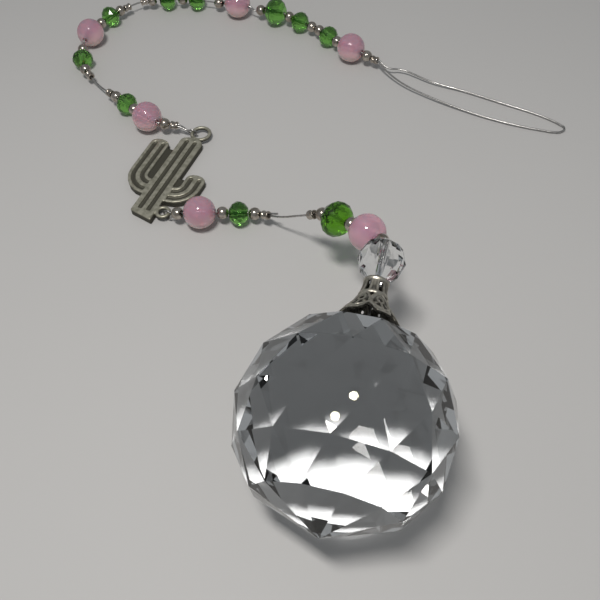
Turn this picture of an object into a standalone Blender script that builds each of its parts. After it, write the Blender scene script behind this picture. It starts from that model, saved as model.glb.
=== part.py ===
import bpy
import bmesh
import math
from mathutils import Matrix, Vector

# A beaded suncatcher laid on a table. A faceted crystal ball carries a pierced cap and a clear bead.
# A wire strand with glass beads, silver balls and crimp tubes runs from it to a cactus charm.
# A second strand runs on from the charm to a bare wire loop, which the whole hangs by.
# Lengths are in metres, +Z is up, the table is z = 0 and the ball's centre is above the origin.

# Wire and clearances
wire_diameter = 0.0005
bore_clearance = 0.0003
strand_spacing = 0.00065  # between two strands that share a bore
bead_gap = 0.0003
bend_reach = 0.0005  # how far from a bead's end the wire may start to bend
bare_step = 0.0030  # longest straight piece of bare wire between beads
loop_step = 0.0022

# Crystal ball
ball_diameter = 0.0400  # across opposite corners
ball_sides = 12
ball_low_latitude = math.radians(24.0)
ball_high_latitude = math.radians(48.7)
ball_heading = math.radians(17.44)  # from +Y towards +X
ball_hole_depth = 0.0048
wire_depth = 0.0045  # how far the wire reaches into the ball

# Pierced cap
cap_height = 0.0092  # above the ball's top corner
cap_rim_radius = 0.0064
cap_neck_radius = 0.0026
cap_wall = 0.0006
cap_petals = 6
cap_arch_radius = 0.0017
cap_hole_width = 0.0009
cap_segments = 24

# Beads
clear_bead_diameter = 0.0096
clear_bead_length = 0.0088
pink_bead_diameter = 0.0080
pink_bead_length = 0.00785
green_bead_diameter = 0.0060
green_bead_length = 0.0046
large_green_diameter = 0.0080
large_green_length = 0.0058
silver_ball_diameter = 0.0031
silver_ball_length = 0.00265
crimp_diameter = 0.0022
crimp_length = 0.0020

# Cactus charm
charm_thickness = 0.0020
charm_heading = math.radians(-25.6)  # the trunk's direction, from +Y towards +X is negative
trunk_half_width = 0.0031
trunk_length = 0.0294
foot_slant = 0.0013  # how much higher the foot's left corner is than its right
arm_half_width = 0.0026
left_arm_height = 0.0095  # where the left arm leaves the trunk
left_arm_corner = 0.0042  # radius of its bend
left_arm_offset = 0.0078
left_arm_top = 0.0262
right_arm_height = 0.0088
right_arm_corner = 0.0038
right_arm_offset = 0.0075
right_arm_top = 0.0172
arm_overlap = 0.0007  # how far an arm reaches into the trunk
limb_round = 0.0016  # length of a limb's rounded tip
foot_level = -0.0005
arm_recess = 0.00005  # how far the arms stay inside the trunk's faces
web_thickness = 0.0012  # of the thin plate between an arm and the trunk
web_recess = 0.0001  # how far it stays above the charm's underside
web_drop = 0.0022  # from an arm's tip down to the top of its web
groove_inner = 0.0006  # a groove's edges, measured from the limb's middle line
groove_outer = 0.00175
groove_depth = 0.0006
groove_foot = 0.0020  # where the trunk's grooves start
groove_start = 0.0004  # from the trunk's side to the arms' grooves
groove_end = 0.0019  # from a limb's tip to the middle of the groove's round end
ring_height = 0.0014
ring_thickness = 0.0011
top_ring_radius = 0.0024
top_ring_offset = 0.0007  # from the trunk's middle line
ring_bite = 0.0004  # how far a ring's rim reaches into the trunk
foot_ring_radius = 0.00155
foot_ring_level = 0.0030

# How far a wire eye's rim stands from the bead or crimp that closes it
foot_eye_reach = 0.0020
top_eye_reach = 0.0040

# Height of the wire beside the table beads and the share of the drop from the clear bead
strand_height = 0.0030
first_gap = 0.0016

# Points of the lower strand, measured from the clear bead's far end, with the share of the height left
lower_route = (
    (0.0000, 0.0000, 1.000),
    (-0.0002, 0.0022, 0.900),
    (-0.0032, 0.0062, 0.755),
    (-0.0052, 0.0110, 0.715),
    (-0.0084, 0.0130, 0.600),
    (-0.0103, 0.0170, 0.566),
    (-0.0129, 0.0184, 0.495),
    (-0.0168, 0.0218, 0.315),
    (-0.0209, 0.0255, 0.124),
    (-0.0248, 0.0287, 0.012),
    (-0.0276, 0.0297, 0.000),
    (-0.0314, 0.0301, 0.000),
    (-0.0352, 0.0301, 0.000),
    (-0.0405, 0.0300, 0.000),
    (-0.0457, 0.0308, 0.000),
    (-0.0495, 0.0332, -0.040),
)

# Pieces on the lower strand with the length of wire left after each
lower_pieces = (
    ("silver", "silver_ball_a1", 0.0007),
    ("pink", "pink_bead_a", 0.0007),
    ("silver", "silver_ball_a2", 0.0006),
    ("large_green", "green_bead_a", 0.0008),
    ("silver", "silver_ball_a3", 0.0008),
    ("crimp", "crimp_a", 0.0152),
    ("crimp", "crimp_b", 0.0007),
    ("silver", "silver_ball_b1", 0.0003),
    ("green", "green_bead_b", 0.0003),
    ("silver", "silver_ball_b2", 0.0003),
    ("pink", "pink_bead_b", 0.0004),
    ("silver", "silver_ball_b3", 0.0003),
)
lower_table_piece = 6  # the first piece of the lower strand that lies on the table

# Points of the upper strand, measured from the middle of the charm's top ring, with the sag of bare wire
upper_route = (
    (0.0000, 0.0000, -0.0004),
    (-0.0073, 0.0025, 0.0000),
    (-0.0144, 0.0034, 0.0000),
    (-0.0175, 0.0084, 0.0000),
    (-0.0204, 0.0124, 0.0000),
    (-0.0239, 0.0161, 0.0000),
    (-0.0259, 0.0179, 0.0000),
    (-0.0296, 0.0228, -0.0010),
    (-0.0331, 0.0274, 0.0000),
    (-0.0345, 0.0301, 0.0000),
    (-0.0358, 0.0350, 0.0000),
    (-0.0359, 0.0397, 0.0000),
    (-0.0343, 0.0466, 0.0000),
    (-0.0314, 0.0524, 0.0000),
    (-0.0288, 0.0558, 0.0000),
    (-0.0238, 0.0598, 0.0000),
    (-0.0194, 0.0621, 0.0000),
    (-0.0120, 0.0621, 0.0000),
    (-0.0071, 0.0618, 0.0000),
    (-0.0026, 0.0609, 0.0000),
    (0.0045, 0.0585, 0.0000),
    (0.0104, 0.0556, 0.0000),
    (0.0175, 0.0522, 0.0000),
    (0.0221, 0.0505, 0.0000),
    (0.0291, 0.0456, 0.0000),
    (0.0348, 0.0407, 0.0000),
    (0.0376, 0.0373, 0.0000),
    (0.0398, 0.0334, 0.0000),
    (0.0431, 0.0291, 0.0000),
    (0.0469, 0.0265, 0.0000),
    (0.0490, 0.0251, 0.0000),
    (0.0540, 0.0218, 0.0000),
)

upper_pieces = (
    ("crimp", "crimp_c", 0.0003),
    ("silver", "silver_ball_c1", 0.0010),
    ("pink", "pink_bead_c", 0.0008),
    ("silver", "silver_ball_c2", 0.0003),
    ("green", "green_bead_c", 0.0010),
    ("silver", "silver_ball_c3", 0.0003),
    ("crimp", "crimp_c2", 0.0094),
    ("crimp", "crimp_d", 0.0008),
    ("silver", "silver_ball_d1", 0.0015),
    ("green", "green_bead_d1", 0.0013),
    ("silver", "silver_ball_d2", 0.0018),
    ("pink", "pink_bead_d", 0.0013),
    ("silver", "silver_ball_d3", 0.0005),
    ("green", "green_bead_d2", 0.0003),
    ("silver", "silver_ball_d4", 0.0003),
    ("crimp", "crimp_d2", 0.0037),
    ("crimp", "crimp_e", 0.0003),
    ("silver", "silver_ball_e1", 0.0013),
    ("green", "green_bead_e1", 0.0012),
    ("silver", "silver_ball_e2", 0.0010),
    ("green", "green_bead_e2", 0.0038),
    ("silver", "silver_ball_e3", 0.0013),
    ("pink", "pink_bead_e", 0.0027),
    ("silver", "silver_ball_e4", 0.0007),
    ("large_green", "green_bead_e3", 0.0005),
    ("silver", "silver_ball_e5", 0.0003),
    ("green", "green_bead_e4", 0.0008),
    ("silver", "silver_ball_e6", 0.0003),
    ("silver", "silver_ball_e7", 0.0005),
    ("green", "green_bead_e5", 0.0005),
    ("silver", "silver_ball_e8", 0.0004),
    ("pink", "pink_bead_f", 0.0004),
    ("silver", "silver_ball_e9", 0.0003),
    ("crimp", "crimp_f", 0.0003),
)

# Points of the hanging loop, measured from the last crimp's end, with the height above the table
loop_out = (
    (0.0023, -0.0020, 0.0020),
    (0.0066, -0.0028, 0.0015),
    (0.0144, -0.0085, 0.0010),
    (0.0224, -0.0127, 0.0006),
    (0.0316, -0.0186, 0.0005),
    (0.0411, -0.0249, 0.0004),
    (0.0454, -0.0291, 0.0004),
    (0.0461, -0.0311, 0.0004),
    (0.0437, -0.0317, 0.0004),
    (0.0409, -0.0309, 0.0004),
    (0.0324, -0.0274, 0.0005),
    (0.0232, -0.0222, 0.0006),
    (0.0133, -0.0153, 0.0010),
    (0.0060, -0.0090, 0.0015),
    (0.0025, -0.0045, 0.0020),
)

top_ring_place = (top_ring_offset, trunk_length + top_ring_radius + ring_thickness / 2 - ring_bite)
foot_ring_place = (trunk_half_width + foot_ring_radius + ring_thickness / 2 - ring_bite, foot_ring_level)
wire_radius = wire_diameter / 2
bore_radius = wire_radius + bore_clearance
double_bore_radius = (strand_spacing + wire_diameter) / 2 + bead_gap / 3
up = Vector((0, 0, 1))

piece_length = {
    "silver": silver_ball_length,
    "pink": pink_bead_length,
    "green": green_bead_length,
    "large_green": large_green_length,
    "crimp": crimp_length,
}
rest_height = {
    "pink": pink_bead_diameter / 2,
    "green": green_bead_diameter / 2,
    "large_green": large_green_diameter / 2,
}


def new_collection(name):
    collection = bpy.data.collections.new(name)
    bpy.context.scene.collection.children.link(collection)
    return collection


def new_material(name, colour, roughness, metallic, transmission=0.0):
    material = bpy.data.materials.new(name)
    material.use_nodes = True
    shader = material.node_tree.nodes["Principled BSDF"]
    shader.inputs["Base Color"].default_value = (*colour, 1.0)
    shader.inputs["Roughness"].default_value = roughness
    shader.inputs["Metallic"].default_value = metallic
    shader.inputs["Transmission Weight"].default_value = transmission
    material.diffuse_color = (*colour, 1.0)
    return material


def add_object(name, mesh, material, pose, collection):
    piece = bpy.data.objects.new(name, mesh)
    piece.matrix_world = pose
    if material and not mesh.materials:
        mesh.materials.append(material)
    collection.objects.link(piece)
    return piece


def finished_mesh(piece, name):
    # The shape with its modifiers applied, as a mesh of its own
    bpy.context.view_layer.update()
    shape = piece.evaluated_get(bpy.context.evaluated_depsgraph_get())
    mesh = bpy.data.meshes.new_from_object(shape)
    mesh.name = name
    return mesh


def welded(mesh):
    edit = bmesh.new()
    edit.from_mesh(mesh)
    bmesh.ops.remove_doubles(edit, verts=edit.verts, dist=0.000001)
    bmesh.ops.recalc_face_normals(edit, faces=edit.faces)
    edit.to_mesh(mesh)
    edit.free()
    return mesh


def turned_mesh(name, profile, segments):
    # A closed profile of (radius, height) points turned about Z
    edit = bmesh.new()
    points = [edit.verts.new((radius, 0, height)) for radius, height in profile]
    for first, second in zip(points, points[1:] + points[:1]):
        edit.edges.new((first, second))
    outline = bpy.data.meshes.new(name + "_profile")
    edit.to_mesh(outline)
    edit.free()
    blank = bpy.data.objects.new(name + "_blank", outline)
    scratch.objects.link(blank)
    turn = blank.modifiers.new("Turn", "SCREW")
    turn.axis = "Z"
    turn.steps = segments
    turn.render_steps = segments
    turn.use_merge_vertices = True
    turn.merge_threshold = 0.00001
    turn.use_smooth_shade = True
    mesh = welded(finished_mesh(blank, name))
    bpy.data.objects.remove(blank)
    return mesh


def hull_mesh(name, corners):
    edit = bmesh.new()
    for corner in corners:
        edit.verts.new(corner)
    bmesh.ops.convex_hull(edit, input=edit.verts)
    bmesh.ops.recalc_face_normals(edit, faces=edit.faces)
    mesh = bpy.data.meshes.new(name)
    edit.to_mesh(mesh)
    edit.free()
    return mesh


def rod_mesh(name, radius, length, sides):
    edit = bmesh.new()
    bmesh.ops.create_cone(
        edit, cap_ends=True, segments=sides, radius1=radius, radius2=radius, depth=length)
    mesh = bpy.data.meshes.new(name)
    edit.to_mesh(mesh)
    edit.free()
    return mesh


def add_cutter(name, mesh, pose):
    cutter = add_object(name, mesh, None, pose, cutters)
    cutter.display_type = "WIRE"
    cutter.hide_render = True
    return cutter


def join_solid(piece, other, operation):
    change = piece.modifiers.new(other.name, "BOOLEAN")
    change.operation = operation
    change.solver = "EXACT"
    change.object = other


def ring_corners(radius, height, count, start):
    corners = []
    for index in range(count):
        angle = start + index * math.tau / count
        corners.append(Vector((radius * math.cos(angle), radius * math.sin(angle), height)))
    return corners


def bored_bead(name, corners, length, material):
    # A faceted bead with a round bore along Z, ready to be placed
    blank = add_object(name + "_blank", hull_mesh(name + "_blank", corners), material, Matrix(), scratch)
    drill = add_object(
        name + "_drill", rod_mesh(name + "_drill", bore_radius, length * 2, 10), None, Matrix(), scratch)
    join_solid(blank, drill, "DIFFERENCE")
    mesh = finished_mesh(blank, name)
    bpy.data.objects.remove(blank)
    bpy.data.objects.remove(drill)
    return mesh


def smooth_path(points):
    # Many points along a curve through the route points, with the length up to each
    ends = [points[0] * 2 - points[1]] + list(points) + [points[-1] * 2 - points[-2]]
    curve = []
    for a, b, c, d in zip(ends, ends[1:], ends[2:], ends[3:]):
        first = math.sqrt((b - a).length)
        second = first + math.sqrt((c - b).length)
        third = second + math.sqrt((d - c).length)
        for step in range(24):
            t = first + (second - first) * step / 24
            ab = a.lerp(b, t / first)
            bc = b.lerp(c, (t - first) / (second - first))
            cd = c.lerp(d, (t - second) / (third - second))
            abc = ab.lerp(bc, t / second)
            bcd = bc.lerp(cd, (t - first) / (third - first))
            curve.append(abc.lerp(bcd, (t - first) / (second - first)))
    curve.append(points[-1])
    lengths = [0.0]
    for first, second in zip(curve, curve[1:]):
        lengths.append(lengths[-1] + (second - first).length)
    return curve, lengths


def point_on(path, distance):
    # The point at this length along the path, which runs on straight past its last point
    curve, lengths = path
    index = 1
    while index < len(lengths) - 1 and lengths[index] < distance:
        index += 1
    share = (distance - lengths[index - 1]) / (lengths[index] - lengths[index - 1])
    return curve[index - 1].lerp(curve[index], share)


def standing_on(point, kinds):
    # The same point, raised or lowered so that a glass bead beside it touches the table
    heights = [rest_height[kind] for kind in kinds if kind in rest_height]
    if heights:
        return Vector((point.x, point.y, max(heights)))
    return point


def lay_strand(path, pieces, start, table_piece):
    # Places the pieces one after another and gives back the wire's points through them
    wire = []
    poses = []
    reach = start
    gap_before = bead_gap
    for index, (kind, name, gap_after) in enumerate(pieces):
        length = piece_length[kind]
        near_distance = reach - min(gap_before / 2, bend_reach)
        far_distance = reach + length + min(gap_after / 2, bend_reach)
        near = point_on(path, near_distance)
        far = point_on(path, far_distance)
        if index >= table_piece:
            near_kinds = [kind]
            far_kinds = [kind]
            if gap_before / 2 <= bend_reach and index > table_piece:
                near_kinds.append(pieces[index - 1][0])
            if gap_after / 2 <= bend_reach and index + 1 < len(pieces):
                far_kinds.append(pieces[index + 1][0])
            near = standing_on(near, near_kinds)
            far = standing_on(far, far_kinds)
        if wire and gap_before / 2 > bend_reach:
            bare = gap_before - 2 * bend_reach
            count = math.ceil(bare / bare_step)
            for step in range(1, count):
                wire.append(point_on(path, near_distance - bare + bare * step / count))
        if not wire or gap_before / 2 > bend_reach:
            wire.append(near)
        wire.append(far)
        share = (reach + length / 2 - near_distance) / (far_distance - near_distance)
        axis = (far - near).normalized()
        turn = axis.to_track_quat("Z", "Y").to_matrix().to_4x4()
        poses.append((kind, name, Matrix.Translation(near.lerp(far, share)) @ turn))
        reach += length + gap_after
        gap_before = gap_after
    return wire, poses, reach - gap_after


def eye_points(ring_middle, ring_radius, toward):
    # The wire's eye round a ring's rim, from the strand's side over the top and back below
    radius = ring_thickness / 2 + bore_clearance + wire_radius
    side = up.cross(toward)
    rim = ring_middle + toward * ring_radius
    points = []
    for step in range(9):
        angle = math.radians(50 + 32 * step)
        offset = strand_spacing * (0.5 - step / 8)
        turn = toward * math.cos(angle) + up * math.sin(angle)
        points.append(rim + turn * radius + side * offset)
    return points


def wire_mesh(name, points):
    curve = bpy.data.curves.new(name + "_line", "CURVE")
    curve.dimensions = "3D"
    curve.bevel_depth = wire_radius
    curve.bevel_resolution = 2
    curve.use_fill_caps = True
    line = curve.splines.new("POLY")
    line.points.add(len(points) - 1)
    for place, point in zip(line.points, points):
        place.co = (*point, 1)
    blank = bpy.data.objects.new(name + "_line", curve)
    scratch.objects.link(blank)
    mesh = welded(finished_mesh(blank, name))
    mesh.transform(blank.matrix_world)
    bpy.data.objects.remove(blank)
    return mesh


def limb_outline(points, half_width, round_length):
    # The outline of a flat limb with a straight foot and a rounded tip
    left = []
    right = []
    for index, point in enumerate(points):
        before = points[max(index - 1, 0)]
        after = points[min(index + 1, len(points) - 1)]
        along = (after - before).normalized()
        out = Vector((-along.y, along.x))
        left.append(point + out * half_width)
        right.append(point - out * half_width)
    along = (points[-1] - points[-2]).normalized()
    out = Vector((-along.y, along.x))
    tip = []
    for step in range(1, 6):
        angle = math.pi * step / 6
        tip.append(points[-1] + out * half_width * math.cos(angle) + along * round_length * math.sin(angle))
    return left + tip + right[::-1]


def bent_line(start, height, offset, top, corner):
    # A limb's middle line: out from the trunk, round the corner and up
    side = math.copysign(1.0, offset)
    points = [Vector((start, height))]
    for step in range(6):
        angle = math.radians(18 * step)
        points.append(Vector((
            offset - side * corner * (1 - math.sin(angle)),
            height + corner * (1 - math.cos(angle)))))
    points.append(Vector((offset, top)))
    return points


def plate(name, outlines, low, high):
    curve = bpy.data.curves.new(name, "CURVE")
    curve.dimensions = "2D"
    curve.fill_mode = "BOTH"
    curve.extrude = (high - low) / 2
    for outline in outlines:
        line = curve.splines.new("POLY")
        line.points.add(len(outline) - 1)
        for place, point in zip(line.points, outline):
            place.co = (point.x, point.y, 0, 1)
        line.use_cyclic_u = True
    blank = bpy.data.objects.new(name + "_flat", curve)
    scratch.objects.link(blank)
    mesh = welded(finished_mesh(blank, name))
    mesh.transform(Matrix.Translation((0, 0, (low + high) / 2)))
    bpy.data.objects.remove(blank)
    return mesh


def torus_mesh(name, radius, thickness, segments, sides):
    profile = []
    for step in range(sides):
        angle = math.radians(90) - step * math.tau / sides
        profile.append((radius + thickness / 2 * math.cos(angle), thickness / 2 * math.sin(angle)))
    return turned_mesh(name, profile, segments)


# Clear the scene
for old in list(bpy.data.objects):
    bpy.data.objects.remove(old)
suncatcher = new_collection("suncatcher")
cutters = new_collection("suncatcher_cutters")
scratch = new_collection("suncatcher_blanks")

crystal = new_material("crystal", (0.93, 0.95, 0.96), 0.02, 0.0, 1.0)
cap_silver = new_material("cap_silver", (0.42, 0.41, 0.38), 0.35, 1.0)
clear_glass = new_material("clear_glass", (0.92, 0.94, 0.95), 0.03, 0.0, 1.0)
pink_glass = new_material("pink_glass", (0.90, 0.55, 0.66), 0.12, 0.0, 0.4)
green_glass = new_material("green_glass", (0.06, 0.36, 0.04), 0.06, 0.0, 0.7)
ball_silver = new_material("ball_silver", (0.46, 0.42, 0.38), 0.22, 1.0)
crimp_silver = new_material("crimp_silver", (0.50, 0.46, 0.42), 0.30, 1.0)
charm_silver = new_material("charm_silver", (0.48, 0.47, 0.42), 0.38, 1.0)
steel_wire = new_material("steel_wire", (0.45, 0.45, 0.44), 0.30, 1.0)

# Crystal ball: rings of corners about its axis, resting on the facet at the side away from the cap
ball_radius = ball_diameter / 2
ring_step = math.tau / ball_sides
level_start = math.radians(90) - ring_step / 2
low_radius = ball_radius * math.cos(ball_low_latitude)
low_height = ball_radius * math.sin(ball_low_latitude)
high_radius = ball_radius * math.cos(ball_high_latitude)
high_height = ball_radius * math.sin(ball_high_latitude)
ball_corners = [Vector((0, 0, ball_radius)), Vector((0, 0, -ball_radius))]
ball_corners += ring_corners(ball_radius, 0, ball_sides, level_start)
ball_corners += ring_corners(high_radius, high_height, ball_sides, level_start)
ball_corners += ring_corners(high_radius, -high_height, ball_sides, level_start)
ball_corners += ring_corners(low_radius, low_height, ball_sides, math.radians(90))
ball_corners += ring_corners(low_radius, -low_height, ball_sides, math.radians(90))

facet_level = ring_corners(ball_radius, 0, ball_sides, level_start)
facet_tip = Vector((0, low_radius, -low_height))
facet_normal = (facet_level[1] - facet_level[0]).cross(facet_tip - facet_level[0]).normalized()
if facet_normal.y < 0:
    facet_normal.negate()
ball_height = facet_normal.dot(facet_tip)
ball_tilt = math.atan2(-facet_normal.z, facet_normal.y)
ball_pose = (
    Matrix.Translation((0, 0, ball_height))
    @ Matrix.Rotation(-ball_heading, 4, "Z")
    @ Matrix.Rotation(ball_tilt - math.radians(90), 4, "X"))

ball = add_object(
    "crystal_ball", hull_mesh("crystal_ball", ball_corners), crystal, ball_pose, suncatcher)
ball_drill = add_cutter(
    "ball_drill",
    rod_mesh("ball_drill", bore_radius, ball_hole_depth * 2, 10),
    ball_pose @ Matrix.Translation((0, 0, ball_radius)))
join_solid(ball, ball_drill, "DIFFERENCE")

# Pierced cap: a turned bell, cut at the rim between its petals and pierced in three rows
cap_pose = ball_pose @ Matrix.Translation((0, 0, ball_radius))
flare = cap_rim_radius - cap_neck_radius
cap_outer = (
    (cap_neck_radius, cap_height),
    (cap_neck_radius + 0.02 * flare, cap_height * 0.76),
    (cap_neck_radius + 0.13 * flare, cap_height * 0.54),
    (cap_neck_radius + 0.37 * flare, cap_height * 0.33),
    (cap_neck_radius + 0.68 * flare, cap_height * 0.16),
    (cap_rim_radius, cap_height * 0.02),
)
cap_inner = (
    (cap_rim_radius - cap_wall * 0.7, -cap_height * 0.02),
    (cap_neck_radius + 0.68 * flare - cap_wall * 0.9, cap_height * 0.14),
    (cap_neck_radius + 0.37 * flare - cap_wall, cap_height * 0.32),
    (cap_neck_radius + 0.13 * flare - cap_wall, cap_height * 0.54),
    (cap_neck_radius - cap_wall, cap_height * 0.76),
    (cap_neck_radius - cap_wall, cap_height),
)
cap = add_object(
    "filigree_cap", turned_mesh("filigree_cap", cap_outer + cap_inner, cap_segments),
    cap_silver, cap_pose, suncatcher)
petal_step = math.tau / cap_petals
piercing = bmesh.new()


def pierce(angle, height, reach, width, length, sides):
    # One hole through the cap's wall, from inside outwards
    made = bmesh.ops.create_cone(
        piercing, cap_ends=True, segments=sides, radius1=width / 2, radius2=width / 2, depth=cap_rim_radius)
    place = (
        Matrix.Rotation(angle, 4, "Z")
        @ Matrix.Translation((reach + cap_rim_radius / 2, 0, height))
        @ Matrix.Rotation(math.radians(90), 4, "Y")
        @ Matrix.Diagonal((length / width, 1, 1, 1)))
    bmesh.ops.transform(piercing, matrix=place, verts=made["verts"])


for petal in range(cap_petals):
    middle = petal * petal_step
    between = middle + petal_step / 2
    arch_width = cap_arch_radius * 2
    pierce(between, -cap_height * 0.04, cap_neck_radius + flare * 0.2, arch_width, arch_width * 1.1, 10)
    pierce(middle, cap_height * 0.30, cap_neck_radius * 0.5, cap_hole_width * 1.3, cap_height * 0.26, 6)
    pierce(between, cap_height * 0.47, cap_neck_radius * 0.5, cap_hole_width, cap_height * 0.24, 6)
    pierce(middle, cap_height * 0.76, cap_neck_radius * 0.4, cap_hole_width, cap_height * 0.24, 6)
piercing_mesh = bpy.data.meshes.new("cap_piercing")
piercing.to_mesh(piercing_mesh)
piercing.free()
join_solid(cap, add_cutter("cap_piercing", piercing_mesh, cap_pose), "DIFFERENCE")

# Clear bead
clear_radius = clear_bead_diameter / 2
clear_corners = []
for share, level, turn in ((0.34, 0.50, 0), (0.80, 0.31, 0.5), (1.0, 0.0, 0), (0.80, -0.31, 0.5), (0.34, -0.50, 0)):
    clear_corners += ring_corners(clear_radius * share, clear_bead_length * level, 12, turn * ring_step)
clear_middle = ball_radius + cap_height + bead_gap + clear_bead_length / 2
clear_pose = ball_pose @ Matrix.Translation((0, 0, clear_middle))
add_object(
    "clear_bead", bored_bead("clear_bead", clear_corners, clear_bead_length, clear_glass),
    clear_glass, clear_pose, suncatcher)


def rondelle(name, diameter, length):
    corners = []
    for share, level, turn in ((0.48, 0.5, 0), (1.0, 0.14, 0.5), (1.0, -0.14, 0), (0.48, -0.5, 0.5)):
        corners += ring_corners(diameter / 2 * share, length * level, 10, turn * math.tau / 10)
    return bored_bead(name, corners, length, green_glass)


def round_profile(radius, half, bore, edges):
    # A ball's outer side from the bore's top edge to its bottom edge
    edge = math.acos(min(bore / radius, half / radius))
    low = math.asin(min(1.0, half / radius))
    profile = [(bore, half)]
    for step in range(1, edges):
        angle = low * (1 - 2 * step / edges)
        profile.append((radius * math.cos(angle), radius * math.sin(angle)))
    profile.append((bore, -half))
    return profile


piece_mesh = {
    "green": rondelle("green_bead", green_bead_diameter, green_bead_length),
    "large_green": rondelle("large_green_bead", large_green_diameter, large_green_length),
    "pink": turned_mesh(
        "pink_bead", round_profile(pink_bead_diameter / 2, pink_bead_length / 2, bore_radius, 7), 14),
    "silver": turned_mesh(
        "silver_ball",
        round_profile(silver_ball_diameter / 2, silver_ball_length / 2, double_bore_radius, 5), 10),
    "crimp": turned_mesh(
        "crimp",
        (
            (double_bore_radius, crimp_length / 2),
            (crimp_diameter / 2, crimp_length * 0.36),
            (crimp_diameter / 2, -crimp_length * 0.36),
            (double_bore_radius, -crimp_length / 2),
        ), 10),
}
piece_material = {
    "green": green_glass,
    "large_green": green_glass,
    "pink": pink_glass,
    "silver": ball_silver,
    "crimp": crimp_silver,
}


def add_pieces(poses):
    for kind, name, pose in poses:
        add_object(name, piece_mesh[kind], piece_material[kind], pose, suncatcher)


# Lower strand, from inside the ball through the cap and the clear bead
clear_end = clear_pose @ Vector((0, 0, clear_bead_length / 2))
drop = clear_end.z - strand_height
lower_points = []
for x, y, share in lower_route:
    lower_points.append(Vector((clear_end.x + x, clear_end.y + y, strand_height + drop * share)))
lower_path = smooth_path(lower_points)
lower_wire, lower_poses, lower_end = lay_strand(lower_path, lower_pieces, first_gap, lower_table_piece)
add_pieces(lower_poses)

foot_ring_middle = point_on(lower_path, lower_end + foot_eye_reach + foot_ring_radius)
foot_ring_middle.z = ring_height

# Cactus charm: its own X runs across the trunk, its own Y runs up the trunk
charm_turn = Matrix.Rotation(charm_heading, 4, "Z")
foot_place = charm_turn @ Vector((*foot_ring_place, 0))
charm_pose = Matrix.Translation((foot_ring_middle.x - foot_place.x, foot_ring_middle.y - foot_place.y, 0))
charm_pose = charm_pose @ charm_turn

trunk_line = [Vector((0, foot_level)), Vector((0, trunk_length / 2)), Vector((0, trunk_length - limb_round))]
arm_start = trunk_half_width - arm_overlap
left_line = bent_line(
    -arm_start, left_arm_height, -left_arm_offset, left_arm_top - limb_round, left_arm_corner)
right_line = bent_line(
    arm_start, right_arm_height, right_arm_offset, right_arm_top - limb_round, right_arm_corner)
trunk_outline = limb_outline(trunk_line, trunk_half_width, limb_round)
trunk_outline[0].y += foot_slant
charm = add_object(
    "cactus_charm",
    plate("cactus_charm", [trunk_outline], 0, charm_thickness),
    charm_silver, charm_pose, suncatcher)
for side, line in (("left", left_line), ("right", right_line)):
    arm = plate(
        side + "_arm", [limb_outline(line, arm_half_width, limb_round)],
        arm_recess, charm_thickness - arm_recess)
    join_solid(charm, add_cutter(side + "_arm", arm, charm_pose), "UNION")
for side, height, offset, top in (
        ("left", left_arm_height, -left_arm_offset, left_arm_top),
        ("right", right_arm_height, right_arm_offset, right_arm_top)):
    web_outline = [
        Vector((0, height)), Vector((offset, height + arm_half_width)), Vector((offset, top - web_drop)),
        Vector((0, top - web_drop))]
    web = plate(side + "_web", [web_outline], web_recess, web_recess + web_thickness)
    join_solid(charm, add_cutter(side + "_web", web, charm_pose), "UNION")
for name, radius, place, segments in (
        ("top_ring", top_ring_radius, top_ring_place, 20),
        ("foot_ring", foot_ring_radius, foot_ring_place, 16)):
    ring = torus_mesh(name, radius, ring_thickness, segments, 8)
    join_solid(
        charm,
        add_cutter(name, ring, charm_pose @ Matrix.Translation((*place, ring_height))), "UNION")

groove_middle = (groove_inner + groove_outer) / 2
groove_half = (groove_outer - groove_inner) / 2
groove_outlines = []
for side in (-1, 1):
    shift = side * groove_middle
    groove_outlines.append(limb_outline(
        [Vector((shift, groove_foot)), Vector((shift, trunk_length - groove_end))], groove_half, groove_half))
    for height, offset, top, corner in (
            (left_arm_height, -left_arm_offset, left_arm_top, left_arm_corner),
            (right_arm_height, right_arm_offset, right_arm_top, right_arm_corner)):
        hand = math.copysign(1.0, offset)
        line = bent_line(
            hand * (trunk_half_width + groove_start), height - shift, offset + hand * shift, top - groove_end,
            corner + shift)
        groove_outlines.append(limb_outline(line, groove_half, groove_half))
grooves = plate("grooves", groove_outlines, charm_thickness - groove_depth, charm_thickness + 0.0010)
join_solid(charm, add_cutter("grooves", grooves, charm_pose), "DIFFERENCE")

# The lower wire goes round the foot ring's rim and back into the last silver ball
last_axis = (lower_wire[-1] - lower_wire[-2]).normalized()
toward = lower_wire[-1] - foot_ring_middle
toward.z = 0
toward.normalize()
foot_side = up.cross(toward) * strand_spacing / 2
lower_eye = eye_points(foot_ring_middle, foot_ring_radius, toward)
ball_top = ball_pose @ Vector((0, 0, ball_radius - wire_depth))
lower_start = [
    ball_top,
    cap_pose @ Vector((0, 0, cap_height)),
    clear_pose @ Vector((0, 0, clear_bead_length / 2 + bead_gap / 2)),
]
lower_return = [lower_wire[-1] - foot_side, lower_wire[-1] - foot_side * 1.08 - last_axis * 0.0012]
lower_wire[-1] = lower_wire[-1] + foot_side
lower_line = lower_start + lower_wire + lower_eye + lower_return
add_object("lower_wire", wire_mesh("lower_wire", lower_line), steel_wire, Matrix(), suncatcher)

# Upper strand, from the eye on the charm's top ring to the last crimp
top_ring_middle = charm_pose @ Vector((*top_ring_place, ring_height))
upper_points = []
for x, y, sag in upper_route:
    upper_points.append(Vector((top_ring_middle.x + x, top_ring_middle.y + y, strand_height + sag)))
upper_path = smooth_path(upper_points)
upper_start = top_ring_radius + top_eye_reach
upper_wire, upper_poses, upper_end = lay_strand(upper_path, upper_pieces, upper_start, 0)
add_pieces(upper_poses)

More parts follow.
